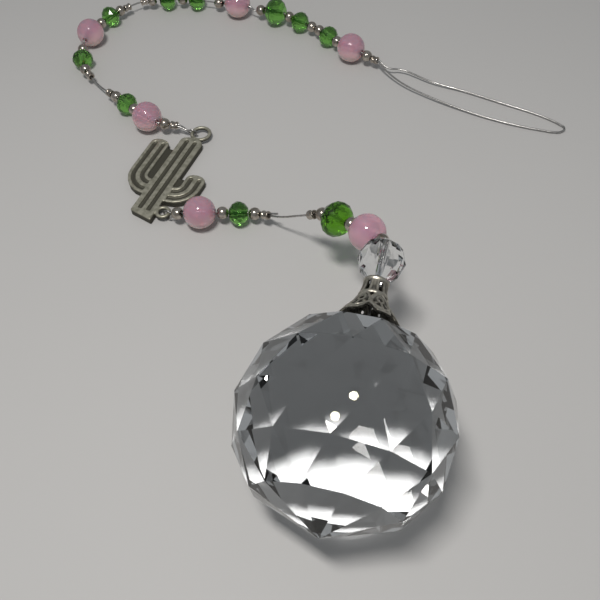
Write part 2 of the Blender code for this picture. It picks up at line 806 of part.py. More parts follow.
toward = upper_wire[0] - top_ring_middle
toward.z = 0
toward.normalize()
top_side = up.cross(toward) * strand_spacing / 2
upper_eye = eye_points(top_ring_middle, top_ring_radius, toward)
upper_eye.reverse()
first_axis = (upper_wire[1] - upper_wire[0]).normalized()
upper_return = [upper_wire[0] - top_side + first_axis * 0.0015, upper_wire[0] - top_side]
upper_wire[0] = upper_wire[0] + top_side
upper_wire[1] = upper_wire[1] + top_side
crimp_axis = (upper_wire[-1] - upper_wire[-2]).normalized()
crimp_end = upper_wire[-1]
upper_wire[-1] = upper_wire[-2] + crimp_axis * crimp_length * 0.4
upper_line = upper_return + upper_eye + upper_wire
add_object("upper_wire", wire_mesh("upper_wire", upper_line), steel_wire, Matrix(), suncatcher)

# Hanging loop, both strands side by side in the last crimp
loop_side = up.cross(crimp_axis).normalized() * strand_spacing / 2
loop_points = [crimp_end + loop_side]
for x, y, height in loop_out:
    loop_points.append(Vector((crimp_end.x + x, crimp_end.y + y, height)))
loop_points.append(crimp_end - loop_side)
loop_path = smooth_path(loop_points)
loop_length = loop_path[1][-1]
loop_count = math.ceil(loop_length / loop_step)
loop_line = [crimp_end + loop_side - crimp_axis * crimp_length * 0.4]
for step in range(loop_count + 1):
    loop_line.append(point_on(loop_path, loop_length * step / loop_count))
loop_line.append(crimp_end - loop_side - crimp_axis * crimp_length * 0.4)
add_object("hanging_loop_wire", wire_mesh("hanging_loop_wire", loop_line), steel_wire, Matrix(), suncatcher)

bpy.data.collections.remove(scratch)
for smooth_kind in ("pink", "silver", "crimp"):
    piece_mesh[smooth_kind].shade_smooth()
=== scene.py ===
import bpy
import bmesh
import math
from mathutils import Matrix, Vector


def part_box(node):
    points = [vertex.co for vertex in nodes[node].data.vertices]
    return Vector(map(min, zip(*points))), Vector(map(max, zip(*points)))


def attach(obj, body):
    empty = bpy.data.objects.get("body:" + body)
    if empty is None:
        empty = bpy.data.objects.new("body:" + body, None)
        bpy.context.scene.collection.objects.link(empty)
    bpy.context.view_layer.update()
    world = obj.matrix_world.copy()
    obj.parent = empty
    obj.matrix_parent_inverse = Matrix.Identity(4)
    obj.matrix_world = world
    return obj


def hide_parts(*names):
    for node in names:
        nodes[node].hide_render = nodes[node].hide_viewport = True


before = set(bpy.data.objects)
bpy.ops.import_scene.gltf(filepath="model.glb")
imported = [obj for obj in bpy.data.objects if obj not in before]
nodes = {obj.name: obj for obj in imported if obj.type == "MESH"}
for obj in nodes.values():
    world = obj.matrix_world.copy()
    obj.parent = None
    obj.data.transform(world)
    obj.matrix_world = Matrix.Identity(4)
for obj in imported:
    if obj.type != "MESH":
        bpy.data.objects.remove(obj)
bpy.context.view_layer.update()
bpy.ops.object.select_all(action="DESELECT")
mm = 0.001
edgeAngle = 50  # degrees; sharper edges stay sharp where a piece is shaded smooth
weldDistance = 0.000005  # corners nearer than this are merged in a copied solid
barWeld = 0.00001  # and in the cap's bars
print("frame loaded:", len(nodes), "nodes")

cameraView = {
    "place": (-0.00624, -0.05921, 0.13774),
    "pitch": 53.92,  # degrees below the horizon
    "roll": -3.92,
    "lens": 45.08,
    "sensor": 36,
    "near": 0.005,
    "far": 20,
}

bpy.ops.object.camera_add()
viewCamera = bpy.context.object
viewCamera.name = "viewCamera"
viewCamera.data.lens = cameraView["lens"]
viewCamera.data.sensor_width = cameraView["sensor"]
viewCamera.data.clip_start = cameraView["near"]
viewCamera.data.clip_end = cameraView["far"]
viewCamera.matrix_world = (
    Matrix.Translation(cameraView["place"])
    @ Matrix.Rotation(math.radians(90 - cameraView["pitch"]), 4, "X")
    @ Matrix.Rotation(math.radians(cameraView["roll"]), 4, "Z"))
bpy.context.scene.camera = viewCamera


def addNode(tree, kind, **settings):
    # one node, with its sockets set by name (spaces written as _)
    node = tree.nodes.new(kind)
    for key, value in settings.items():
        socket = key.replace("_", " ")
        if socket in node.inputs:
            node.inputs[socket].default_value = value
        else:
            setattr(node, key, value)
    return node


def addNoise(tree, scale, detail=4.0):
    # noise on object coordinates, in bumps per metre
    coordinates = addNode(tree, "ShaderNodeTexCoord")
    noise = addNode(tree, "ShaderNodeTexNoise", Scale=scale, Detail=detail)
    tree.links.new(coordinates.outputs["Object"], noise.inputs["Vector"])
    return noise


def addRamp(tree, source, stops):
    ramp = addNode(tree, "ShaderNodeValToRGB")
    while len(ramp.color_ramp.elements) < len(stops):
        ramp.color_ramp.elements.new(0.5)
    for element, (place, colour) in zip(ramp.color_ramp.elements, stops):
        element.position = place
        element.color = (*colour, 1.0)
    tree.links.new(source, ramp.inputs["Fac"])
    return ramp


def addRange(tree, source, low, high, outLow, outHigh):
    mapped = addNode(tree, "ShaderNodeMapRange")
    mapped.inputs["From Min"].default_value = low
    mapped.inputs["From Max"].default_value = high
    mapped.inputs["To Min"].default_value = outLow
    mapped.inputs["To Max"].default_value = outHigh
    tree.links.new(source, mapped.inputs["Value"])
    return mapped


def addBump(tree, shader, height, strength, distance):
    bump = addNode(tree, "ShaderNodeBump", Strength=strength, Distance=distance)
    tree.links.new(height, bump.inputs["Height"])
    tree.links.new(bump.outputs["Normal"], shader.inputs["Normal"])


def addHeight(tree):
    # the height above the table, from object coordinates
    coordinates = addNode(tree, "ShaderNodeTexCoord")
    split = addNode(tree, "ShaderNodeSeparateXYZ")
    tree.links.new(coordinates.outputs["Object"], split.inputs["Vector"])
    return split.outputs["Z"]


def addBlend(tree, factor, dark, source):
    # from a plain dark colour to the source colour; 6, 7 and 2 are the node's colour sockets
    blend = addNode(tree, "ShaderNodeMix", data_type="RGBA")
    blend.inputs[6].default_value = (*dark, 1.0)
    tree.links.new(factor, blend.inputs["Factor"])
    tree.links.new(source, blend.inputs[7])
    return blend.outputs[2]


def newFinish(name, **values):
    # a material whose shader gets its plain values by socket name
    material = bpy.data.materials.new(name)
    material.use_nodes = True
    tree = material.node_tree
    shader = tree.nodes["Principled BSDF"]
    for key, value in values.items():
        shader.inputs[key.replace("_", " ")].default_value = value
    return material, tree, shader


crystalLook = {
    "tint": (0.975, 0.985, 0.99, 1.0),
    "ior": 1.55,
    "haze": 0.0,
    "smudge": 0.012,  # highest roughness of the smudges on the facets
    "shine": 1.0,
}
clearBeadLook = {
    "tint": (0.975, 0.985, 0.99, 1.0),
    "ior": 1.50,
    "haze": 0.0,
    "smudge": 0.05,
    "shine": 0.08,  # its facets mirror the lamp less than the ball's
}
smudgeScale = 160  # smudges per metre


def crystalFinish(name, look):
    # clear or tinted glass, with faint smudges in its roughness
    material, tree, shader = newFinish(
        name, Base_Color=look["tint"], Transmission_Weight=1.0, IOR=look["ior"], Roughness=0.0,
        Specular_Tint=(look["shine"], look["shine"], look["shine"], 1.0))
    noise = addNoise(tree, smudgeScale)
    spread = addRange(tree, noise.outputs["Fac"], 0.45, 0.75, look["haze"], look["smudge"])
    tree.links.new(spread.outputs["Result"], shader.inputs["Roughness"])
    return material


greenLook = {
    "tint": (0.25, 0.65, 0.12, 1.0),
    "ior": 1.52,
    "haze": 0.10,  # the edges of the green beads are worn soft
    "smudge": 0.20,
    "shine": 0.6,
}
# painted shade: a darker copy of the green glass for green_bead_a, which sits raised and gets less
# light from the table under it
shadedGreenLook = {
    "tint": (0.15, 0.46, 0.025, 1.0),
    "ior": 1.52,
    "haze": 0.10,
    "smudge": 0.20,
    "shine": 0.6,
}
pinkLook = {
    "low": (1.0, 0.73, 0.66),  # painted glow, peach, near the table
    "middle": (1.0, 0.64, 0.71),
    "middlePlace": 0.42,  # on the way from low to high
    # painted shade, purple-pink, at the top
    "high": (0.84, 0.50, 0.64),
    "ior": 1.5,
    "roughness": 0.06,
    "coat": 0.4,
    "coatRoughness": 0.03,
    "transmission": 0.58,
    "scatter": 0.60,
    "scatterDepth": 0.003,
    "scatterColour": (1.0, 0.5, 0.45),
    "cloudScale": 260,
    "cloudShift": 0.12,
    "bandStart": 0.0018,  # the painted glow turns into the painted shade between these heights over the table
    "bandEnd": 0.0062,
    "raised": 0.0145,  # how much higher pink_bead_a sits than the others
}


def pinkFinish(name, look, raised):
    # opal glass, pink in the middle, with painted light by height: a painted peach glow below and
    # painted purple-pink shade at the top
    material, tree, shader = newFinish(
        name, Transmission_Weight=look["transmission"], Subsurface_Weight=look["scatter"],
        Subsurface_Scale=look["scatterDepth"], Subsurface_Radius=look["scatterColour"],
        Roughness=look["roughness"], IOR=look["ior"], Coat_Weight=look["coat"],
        Coat_Roughness=look["coatRoughness"])
    level = addRange(
        tree, addHeight(tree), look["bandStart"] + raised, look["bandEnd"] + raised, 0.0, 1.0)
    clouds = addNoise(tree, look["cloudScale"], 3.0)
    shift = addRange(
        tree, clouds.outputs["Fac"], 0.3, 0.7, -look["cloudShift"], look["cloudShift"])
    mixed = addNode(tree, "ShaderNodeMath", operation="ADD", use_clamp=True)
    tree.links.new(level.outputs["Result"], mixed.inputs[0])
    tree.links.new(shift.outputs["Result"], mixed.inputs[1])
    ramp = addRamp(tree, mixed.outputs["Value"], (
        (0.0, look["low"]), (look["middlePlace"], look["middle"]), (1.0, look["high"])))
    tree.links.new(ramp.outputs["Color"], shader.inputs["Base Color"])
    return material


silverLook = {
    "bright": (0.60, 0.55, 0.49),
    "tarnish": (0.26, 0.22, 0.18),
    "roughness": (0.12, 0.34),
    "speckle": 900,
    "dents": 0.00003,
}
capLook = {
    "bright": (0.60, 0.57, 0.50),
    "tarnish": (0.36, 0.34, 0.29),
    "recess": (0.07, 0.066, 0.056),  # painted shade, near black, on the sunk sheet between the bars
    "roughness": (0.36, 0.58),
    "speckle": 1100,
    "dents": 0.00006,
}
wireLook = {
    "bright": (0.55, 0.54, 0.53),
    "tarnish": (0.30, 0.29, 0.28),
    "roughness": (0.22, 0.40),
    "speckle": 1500,
    "dents": 0.00002,
}


def silverFinish(name, look):
    # speckled plated metal; a look with a recess colour gets that colour as painted shade where the
    # mesh's shade mask is low
    material, tree, shader = newFinish(name, Metallic=1.0)
    noise = addNoise(tree, look["speckle"], 5.0)
    ramp = addRamp(tree, noise.outputs["Fac"], ((0.30, look["tarnish"]), (0.62, look["bright"])))
    colour = ramp.outputs["Color"]
    if "recess" in look:
        paintedShadeMask = addNode(tree, "ShaderNodeAttribute", attribute_name="paintedShadeMask")
        colour = addBlend(tree, paintedShadeMask.outputs["Fac"], look["recess"], colour)
    tree.links.new(colour, shader.inputs["Base Color"])
    dull = addRange(
        tree, noise.outputs["Fac"], 0.35, 0.65, look["roughness"][1], look["roughness"][0])
    tree.links.new(dull.outputs["Result"], shader.inputs["Roughness"])
    addBump(tree, shader, noise.outputs["Fac"], 0.5, look["dents"])
    return material


charmLook = {
    "bright": (0.51, 0.49, 0.40),
    "tarnish": (0.33, 0.32, 0.25),
    "groove": (0.085, 0.082, 0.065),
    "grooveFrom": 0.00140,  # height where the black of the grooves is full
    "grooveTo": 0.00185,
    "metal": 0.7,
    "roughness": (0.65, 0.42),  # in the grooves and on top
    "speckle": 900,
    "dents": 0.00008,
}


def charmFinish(name, look):
    # antique silver: rubbed bright on top, black where the polish didn't reach
    material, tree, shader = newFinish(name, Metallic=look["metal"])
    noise = addNoise(tree, look["speckle"], 6.0)
    ramp = addRamp(tree, noise.outputs["Fac"], ((0.36, look["tarnish"]), (0.60, look["bright"])))
    depth = addRange(tree, addHeight(tree), look["grooveFrom"], look["grooveTo"], 0.0, 1.0)
    colour = addBlend(tree, depth.outputs["Result"], look["groove"], ramp.outputs["Color"])
    tree.links.new(colour, shader.inputs["Base Color"])
    dull = addRange(
        tree, depth.outputs["Result"], 0.0, 1.0, look["roughness"][0], look["roughness"][1])
    tree.links.new(dull.outputs["Result"], shader.inputs["Roughness"])
    addBump(tree, shader, noise.outputs["Fac"], 0.6, look["dents"])
    return material


crystal = crystalFinish("cutCrystal", crystalLook)
clearGlass = crystalFinish("clearGlass", clearBeadLook)
greenGlass = crystalFinish("greenGlass", greenLook)
shadedGreenGlass = crystalFinish("shadedGreenGlass", shadedGreenLook)
# both pink finishes carry the painted glow and painted shade by height; the second has them raised with
# pink_bead_a
pinkOpal = pinkFinish("pinkOpal", pinkLook, 0.0)
pinkOpalRaised = pinkFinish("pinkOpalRaised", pinkLook, pinkLook["raised"])
beadSilver = silverFinish("beadSilver", silverLook)
crimpSilver = silverFinish("crimpSilver", silverLook)
capSilver = silverFinish("capSilver", capLook)
strandSteel = silverFinish("strandSteel", wireLook)
charmSilver = charmFinish("charmSilver", charmLook)
print("finishes made")

wire = {
    "diameter": 0.5 * mm,
    "roundness": 3,
    "steps": 6,  # between two points
}
# points of the three wires in millimetres, from the ball to the hanging loop
lowerPoints = (
    (4.61, 14.67, 21.14), (8.68, 27.63, 22.89), (11.43, 36.38, 24.07), (11.39, 37.27, 23.04),
    (10.53, 39.47, 21.02), (6.73, 46.31, 18.33), (4.66, 48.23, 16.89), (1.30, 52.95, 15.02),
    (-1.33, 54.52, 13.56), (-3.19, 56.00, 11.91), (-4.86, 57.53, 10.19), (-6.54, 59.06, 8.48),
    (-8.21, 60.58, 6.77), (-10.00, 62.17, 5.24), (-11.89, 63.85, 3.95), (-14.16, 65.31, 3.09),
    (-17.19, 66.11, 3.00), (-22.08, 66.37, 3.00), (-25.03, 66.30, 4.00), (-33.19, 66.71, 4.00),
    (-35.72, 68.15, 2.72), (-36.60, 68.76, 2.24), (-37.10, 69.01, 2.49), (-37.64, 69.29, 2.40),
    (-38.07, 69.48, 2.02), (-38.27, 69.52, 1.44), (-38.20, 69.37, 0.85), (-37.89, 69.06, 0.43),
    (-37.44, 68.65, 0.30), (-37.02, 68.26, 0.51), (-36.09, 67.62, 2.72), (-35.09, 67.16, 3.20),
)
upperPoints = (
    (-37.05, 100.42, 2.99), (-35.59, 100.08, 2.95), (-32.59, 99.00, 0.51), (-32.08, 98.73, 0.30),
    (-31.55, 98.45, 0.43), (-31.17, 98.23, 0.85), (-31.06, 98.10, 1.44), (-31.26, 98.09, 2.02),
    (-31.72, 98.17, 2.40), (-32.32, 98.29, 2.49), (-32.87, 98.41, 2.24), (-35.81, 99.47, 2.95),
    (-38.05, 99.99, 3.02), (-41.23, 100.41, 4.00), (-47.17, 105.80, 4.00), (-48.98, 108.44, 3.00),
    (-52.39, 112.42, 3.00), (-54.79, 114.68, 3.03), (-56.59, 116.59, 2.79), (-58.22, 118.80, 2.21),
    (-59.88, 121.04, 2.04), (-61.58, 123.19, 2.56), (-63.22, 125.53, 3.03), (-64.69, 128.75, 3.00),
    (-64.84, 129.23, 3.00), (-65.82, 134.72, 3.00), (-65.83, 135.02, 3.00), (-65.56, 138.66, 3.00),
    (-65.42, 139.45, 4.00), (-62.55, 147.78, 4.00), (-62.41, 148.04, 3.00), (-60.66, 150.95, 3.00),
    (-57.33, 154.67, 3.00), (-55.02, 156.50, 3.00), (-52.83, 157.99, 3.00), (-50.49, 159.33, 3.00),
    (-47.93, 159.96, 3.00), (-44.63, 159.93, 3.00), (-44.33, 159.91, 3.00), (-38.74, 159.63, 3.00),
    (-38.54, 159.62, 3.00), (-34.93, 159.14, 3.00), (-29.52, 157.69, 3.00), (-26.88, 156.77, 3.00),
    (-23.52, 155.34, 3.00), (-23.25, 155.21, 4.00), (-15.34, 151.24, 4.00), (-13.80, 150.51, 3.00),
    (-10.55, 149.23, 4.00), (-4.87, 146.37, 4.00), (-2.41, 144.56, 3.00), (1.63, 141.37, 3.00),
    (4.04, 139.26, 3.00), (6.16, 137.07, 3.00), (8.97, 132.83, 3.00), (10.56, 130.17, 4.00),
    (16.45, 124.55, 4.00), (18.95, 122.90, 3.00), (19.62, 122.46, 3.00),
)
loopPoints = (
    (20.39, 122.34, 3.00), (21.05, 121.90, 3.00), (22.34, 120.30, 2.30), (24.16, 119.34, 1.81),
    (26.30, 119.16, 1.60), (28.31, 118.40, 1.43), (30.08, 117.16, 1.30), (31.76, 115.80, 1.20),
    (33.44, 114.43, 1.10), (35.20, 113.18, 1.00), (37.08, 112.10, 0.90), (39.01, 111.12, 0.79),
    (40.96, 110.17, 0.69), (42.87, 109.16, 0.61), (44.74, 108.06, 0.56), (46.57, 106.90, 0.54),
    (48.39, 105.72, 0.52), (50.20, 104.53, 0.52), (52.01, 103.34, 0.50), (53.83, 102.16, 0.48),
    (55.66, 101.01, 0.46), (57.49, 99.85, 0.44), (59.31, 98.67, 0.42), (61.08, 97.42, 0.41),
    (62.78, 96.07, 0.40), (64.40, 94.64, 0.40), (65.89, 93.07, 0.40), (66.96, 91.20, 0.40),
    (65.63, 89.99, 0.40), (63.49, 90.12, 0.40), (61.45, 90.85, 0.40), (59.42, 91.60, 0.42),
    (57.40, 92.40, 0.45), (55.41, 93.25, 0.47), (53.44, 94.15, 0.50), (51.50, 95.12, 0.52),
    (49.60, 96.15, 0.53), (47.71, 97.22, 0.54), (45.85, 98.33, 0.56), (44.01, 99.47, 0.60),
    (42.19, 100.64, 0.65), (40.38, 101.84, 0.72), (38.60, 103.07, 0.79), (36.84, 104.33, 0.87),
    (35.10, 105.62, 0.95), (33.39, 106.95, 1.04), (31.69, 108.30, 1.14), (30.03, 109.68, 1.24),
    (28.41, 111.12, 1.36), (26.87, 112.63, 1.50), (25.46, 114.27, 1.65), (24.17, 116.00, 1.83),
    (22.94, 117.76, 2.12), (21.81, 119.56, 2.55), (20.69, 121.36, 3.00), (20.03, 121.80, 3.00),
)
# the wire's cut end, which stands out of the crimp beside the strand
tailPoints = (
    (-12.60, 64.72, 3.95), (-11.70, 64.18, 4.35), (-10.75, 63.58, 4.85), (-10.15, 63.20, 5.20),
)


def newCurve(name, radius, roundness):
    # a round, capped tube along the lines that are drawn in it
    curve = bpy.data.curves.new(name, "CURVE")
    curve.dimensions = "3D"
    curve.bevel_depth = radius
    curve.bevel_resolution = roundness
    curve.use_fill_caps = True
    return curve


def addPolyline(curve, points):
    line = curve.splines.new("POLY")
    line.points.add(len(points) - 1)
    for knot, point in zip(line.points, points):
        knot.co = (*point, 1.0)
    return line


def selectOnly(piece):
    bpy.ops.object.select_all(action="DESELECT")
    bpy.context.view_layer.objects.active = piece
    piece.select_set(True)


def meshFromCurve(name, curve):
    # the curve as a selected mesh object
    piece = bpy.data.objects.new(name, curve)
    bpy.context.scene.collection.objects.link(piece)
    selectOnly(piece)
    bpy.ops.object.convert(target="MESH")
    return bpy.context.object


def layWire(name, node, points):
    curve = newCurve(name, wire["diameter"] / 2, wire["roundness"])
    curve.resolution_u = wire["steps"]
    line = curve.splines.new("BEZIER")
    line.bezier_points.add(len(points) - 1)
    for knot, point in zip(line.bezier_points, points):
        knot.co = Vector(point) * mm
        knot.handle_left_type = "AUTO"
        knot.handle_right_type = "AUTO"
    strand = bpy.data.objects.new(name, curve)
    bpy.context.scene.collection.objects.link(strand)
    strand.data.materials.append(strandSteel)
    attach(strand, "root")
    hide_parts(node)


def cutTail():
    curve = newCurve("cutTail", wire["diameter"] / 2, wire["roundness"])
    addPolyline(curve, [Vector(point) * mm for point in tailPoints])
    tail = meshFromCurve("cutTail", curve)
    bpy.ops.object.shade_smooth_by_angle(angle=math.radians(edgeAngle))
    tail.data.materials.append(strandSteel)
    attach(tail, "root")


layWire("beadedStrandLow", "lower_wire", lowerPoints)
layWire("beadedStrandHigh", "upper_wire", upperPoints)
layWire("hangingLoop", "hanging_loop_wire", loopPoints)
cutTail()
print("wires laid")


def startEdit():
    bpy.ops.object.mode_set(mode="EDIT")


def endEdit():
    bpy.ops.object.mode_set(mode="OBJECT")


def selectInEdit(test, kind="VERT"):
    # selects the open mesh's vertices, edges or faces that pass the test
    mesh = bmesh.from_edit_mesh(bpy.context.object.data)
    bpy.ops.mesh.select_all(action="DESELECT")
    bpy.ops.mesh.select_mode(type=kind)
    parts = {"VERT": mesh.verts, "EDGE": mesh.edges, "FACE": mesh.faces}[kind]
    for part in parts:
        if test(part):
            part.select_set(True)
    mesh.select_flush(True)
    bmesh.update_edit_mesh(bpy.context.object.data)


def turnFacesOut():
    bpy.ops.mesh.select_all(action="SELECT")
    bpy.ops.mesh.normals_make_consistent(inside=False)


def copyOfNode(name, node):
    # the node's solid under a new name, with its corners merged
    solid = bpy.data.objects.new(name, nodes[node].data.copy())
    bpy.context.scene.collection.objects.link(solid)
    selectOnly(solid)
    startEdit()
    bpy.ops.mesh.select_all(action="SELECT")
    bpy.ops.mesh.remove_doubles(threshold=weldDistance)
    turnFacesOut()
    endEdit()
    return solid


def applyModifier(piece, kind, **settings):
    selectOnly(piece)
    change = piece.modifiers.new(kind.title(), kind)
    for key, value in settings.items():
        setattr(change, key, value)
    bpy.ops.object.modifier_apply(modifier=change.name)


def boredBall(name, size):
    # a round bead, cut flat at both ends, with its edge rolled into the bore
    radius = size["radius"]
    half = size["length"] / 2
    flat = half * flatShare
    bpy.ops.object.select_all(action="DESELECT")
    bpy.ops.mesh.primitive_uv_sphere_add(
        segments=size["segments"], ring_count=size["rings"], radius=radius)
    bead = bpy.context.object
    bead.name = name
    startEdit()
    for side in (1, -1):
        bpy.ops.mesh.select_all(action="SELECT")
        bpy.ops.mesh.bisect(plane_co=(0, 0, side * flat), plane_no=(0, 0, side), clear_outer=True)
        selectInEdit(lambda vert: abs(vert.co.z - side * flat) < closeTo)
        bpy.ops.mesh.select_mode(type="EDGE")
        share = size["bore"] / math.sqrt(radius ** 2 - flat ** 2)
        halfway = 1 + (share - 1) * 0.5
        for grow, level in ((halfway, 1.0), (share / halfway, boreLipShare)):
            bpy.ops.mesh.extrude_edges_move()
            bpy.ops.transform.resize(value=(grow, grow, 1))
            bpy.ops.transform.translate(value=(0, 0, side * half * (level - flatShare) * 0.5))
    bpy.ops.mesh.select_all(action="DESELECT")
    bpy.ops.mesh.select_mode(type="EDGE")
    bpy.ops.mesh.select_non_manifold()
    bpy.ops.mesh.bridge_edge_loops()
    turnFacesOut()
    endEdit()
    bpy.ops.object.shade_smooth_by_angle(angle=math.radians(edgeAngle))
    return bead


def cutBead(name, size, rows):
    # rings of corners, each half a step from the next, wrapped in flat facets
    radius = size["radius"]
    length = size["length"]
    sides = size["sides"]
    bpy.ops.object.select_all(action="DESELECT")
    bpy.ops.mesh.primitive_circle_add(vertices=sides, radius=radius * rows[0][0], location=(0, 0, 0))
    bead = bpy.context.object
    bead.name = name
    startEdit()
    bpy.ops.mesh.select_all(action="SELECT")
    bpy.ops.transform.translate(value=(0, 0, length * rows[0][1]))
    for index, (share, level) in enumerate(rows[1:], 1):
        bpy.ops.mesh.primitive_circle_add(
            vertices=sides, radius=radius * share, location=(0, 0, length * level),
            rotation=(0, 0, math.pi / sides * (index % 2)))
    bpy.ops.mesh.select_all(action="SELECT")
    bpy.ops.mesh.convex_hull(join_triangles=False)
    bpy.ops.mesh.select_all(action="SELECT")
    bpy.ops.mesh.dissolve_limited(angle_limit=math.radians(coplanarAngle))
    half = length * rows[0][1]
    selectInEdit(lambda face: abs(face.calc_center_median().z) > half * 0.999, "FACE")
    inset = radius * rows[0][0] * math.cos(math.pi / sides) - size["bore"]
    bpy.ops.mesh.inset(thickness=inset)
    bpy.ops.mesh.bridge_edge_loops()
    turnFacesOut()
    endEdit()
    bpy.ops.object.shade_flat()
    return bead


def crushedTube(name, size):
    # a crimp: a short tube, pressed flatter round its middle
    radius = size["radius"]
    length = size["length"]
    bpy.ops.object.select_all(action="DESELECT")
    bpy.ops.mesh.primitive_cylinder_add(
        vertices=size["sides"], radius=radius, depth=length, end_fill_type="NOTHING")
    tube = bpy.context.object
    tube.name = name
    startEdit()
    for level in size["cuts"]:
        bpy.ops.mesh.select_all(action="SELECT")
        bpy.ops.mesh.bisect(plane_co=(0, 0, level * length), plane_no=(0, 0, 1))
    selectInEdit(lambda vert: abs(vert.co.z) < length * size["pressed"])
    bpy.ops.transform.resize(value=(1.0, size["pinch"], 1))
    selectInEdit(lambda vert: abs(vert.co.z) > length * size["ends"])
    bpy.ops.transform.resize(value=(size["endTaper"], size["endTaper"], 1))
    endEdit()
    applyModifier(tube, "SOLIDIFY", thickness=radius - size["bore"], offset=-1)
    applyModifier(tube, "BEVEL", width=radius * size["edge"], segments=2, limit_method="ANGLE")
    applyModifier(tube, "SUBSURF", levels=1, render_levels=1)
    bpy.ops.object.shade_smooth()
    return tube


silverBall = {"radius": 1.55 * mm, "length": 2.65 * mm, "bore": 0.66 * mm, "segments": 28, "rings": 18}
pinkBead = {"radius": 4.0 * mm, "length": 7.85 * mm, "bore": 0.55 * mm, "segments": 56, "rings": 36}
greenBead = {"radius": 2.97 * mm, "length": 4.6 * mm, "bore": 0.55 * mm, "sides": 12}
largeGreenBead = {"radius": 3.97 * mm, "length": 5.8 * mm, "bore": 0.55 * mm, "sides": 14}
crimp = {
    "radius": 1.1 * mm,
    "length": 2.0 * mm,
    "bore": 0.66 * mm,
    "sides": 24,
    "cuts": (-0.3, -0.12, 0.12, 0.3),  # levels here and below are in lengths from the middle
    "pressed": 0.2,
    "pinch": 0.72,
    "ends": 0.4,
    "endTaper": 0.94,
    "edge": 0.10,
}
closeTo = 1e-7  # a corner this near to a cut lies on it
flatShare = 0.985  # where a round bead's end is cut flat, in halves of its length
boreLipShare = 0.96
coplanarAngle = 0.5  # degrees; facets of a cut bead that bend less than this are one
# rows of a green bead's corners: share of its radius, and level in lengths from its middle
greenRows = ((0.46, 0.5), (0.80, 0.33), (1.0, 0.10), (1.0, -0.10), (0.80, -0.33), (0.46, -0.5))

ballMaster = boredBall("silverBall", silverBall)
pinkMaster = boredBall("pinkBead", pinkBead)
greenMaster = cutBead("greenBead", greenBead, greenRows)
largeGreenMaster = cutBead("largeGreenBead", largeGreenBead, greenRows)
crimpMaster = crushedTube("crimp", crimp)
print("beads modelled")


def strandDirection(middle):
    # the direction of the wire's stretch that runs through this bead
    best = None
    for points in (lowerPoints, upperPoints, loopPoints):
        for first, second in zip(points, points[1:]):
            a = Vector(first) * mm
            b = Vector(second) * mm
            share = (middle - a).dot(b - a) / (b - a).length_squared
            near = a.lerp(b, min(max(share, 0.0), 1.0))
            distance = (near - middle).length
            if best is None or distance < best[0]:
                best = (distance, (b - a).normalized())
    return best[1]


def threadOn(master, node, finish, turn):
    # a copy of the bead in the node's place, with its own mesh
    low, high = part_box(node)
    middle = (Vector(low) + Vector(high)) / 2
    along = strandDirection(middle)
    across = Vector((0, 0, 1)).cross(along).normalized()
    over = along.cross(across)
    place = Matrix((across, over, along)).transposed().to_4x4()
    bead = bpy.data.objects.new("threaded_" + node, master.data.copy())
    bead.data.transform(Matrix.Translation(middle) @ place @ Matrix.Rotation(turn, 4, "Z"))
    bead.data.materials.clear()
    bead.data.materials.append(finish)
    bpy.context.scene.collection.objects.link(bead)
    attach(bead, "root")
    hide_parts(node)


turnStride = 2.9  # radians from one bead to the next, so that each has its own turn on the wire
for count, node in enumerate(sorted(nodes), 1):
    turn = count * turnStride
    if node.startswith("silver_ball"):
        threadOn(ballMaster, node, beadSilver, turn)
    elif node.startswith("crimp"):
        threadOn(crimpMaster, node, crimpSilver, 0.0)
    elif node.startswith("pink_bead"):
        finish = pinkOpalRaised if node == "pink_bead_a" else pinkOpal
        threadOn(pinkMaster, node, finish, turn)
    elif node in ("green_bead_a", "green_bead_e3"):
        # green_bead_a takes the darker copy with painted shade
        finish = shadedGreenGlass if node == "green_bead_a" else greenGlass
        threadOn(largeGreenMaster, node, finish, turn)
    elif node.startswith("green_bead"):
        threadOn(greenMaster, node, greenGlass, turn)
for master in (ballMaster, pinkMaster, greenMaster, largeGreenMaster, crimpMaster):
    bpy.data.objects.remove(master)
print("beads threaded")

charmCasting = {
    "voxel": 0.14 * mm,
    "softening": 7,
}


def castCharm():
    # the charm's solid, remeshed finely and softened like a casting
    casting = copyOfNode("castCactus", "cactus_charm")
    applyModifier(casting, "REMESH", mode="VOXEL", voxel_size=charmCasting["voxel"])
    applyModifier(casting, "SMOOTH", factor=0.5, iterations=charmCasting["softening"])
    bpy.ops.object.shade_smooth()
    casting.data.materials.clear()
    casting.data.materials.append(charmSilver)
    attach(casting, "root")
    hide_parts("cactus_charm")
    print("charm cast:", len(casting.data.polygons), "faces")


castCharm()

cap = {
    # the cap's own axes and place on the frame, as its solid has them
    "turn": (
        (0.954031, 0.038281, 0.297252),
        (-0.299707, 0.121856, 0.946217),
        (0.0, -0.991809, 0.127727)),
    "place": (5.945, 18.924, 21.715),
    "neck": 2.6,
    "rim": 6.4,
    "height": 9.2,
    "petals": 6,
    "posts": 12,
    "stem": 0.50,  # radius of the raised bars
    "thin": 0.38,
    "recess": 0.18,  # how far the sheet between the bars lies back
    "paintedShadeBelow": 0.04,  # the painted shade is full this far under the sheet
    "paintedShadeFade": 0.10,  # and fades out upwards over this depth
    "neckRing": 0.955,  # this and the places below are levels, 0 at the rim and 1 at the top
    "waistRing": 0.60,
    "postBend": 0.80,
    "petalTop": 0.58,
    "petalReach": 0.54,
    "petalClose": 1.08,  # above 1 closes a petal's outline before its foot
    "petalFullness": 0.7,  # power of its outline, lower is fuller
    "crownFoot": 0.50,
    "stalk": (0.31, 0.18, 0.04),
    "eye": 0.40,
    "eyeTall": 0.085,
    "eyeWide": 0.20,  # radians round the bell, as are scrollOut and scrollWide
    "scroll": 0.16,
    "scrollTall": 0.11,
    "scrollOut": 0.20,
    "scrollWide": 0.14,
    "ringSteps": 48,
    "petalSteps": 16,
    "eyeSteps": 14,
    "scrollSteps": 8,
    "voxel": 0.11 * mm,
    "softening": 2,
}


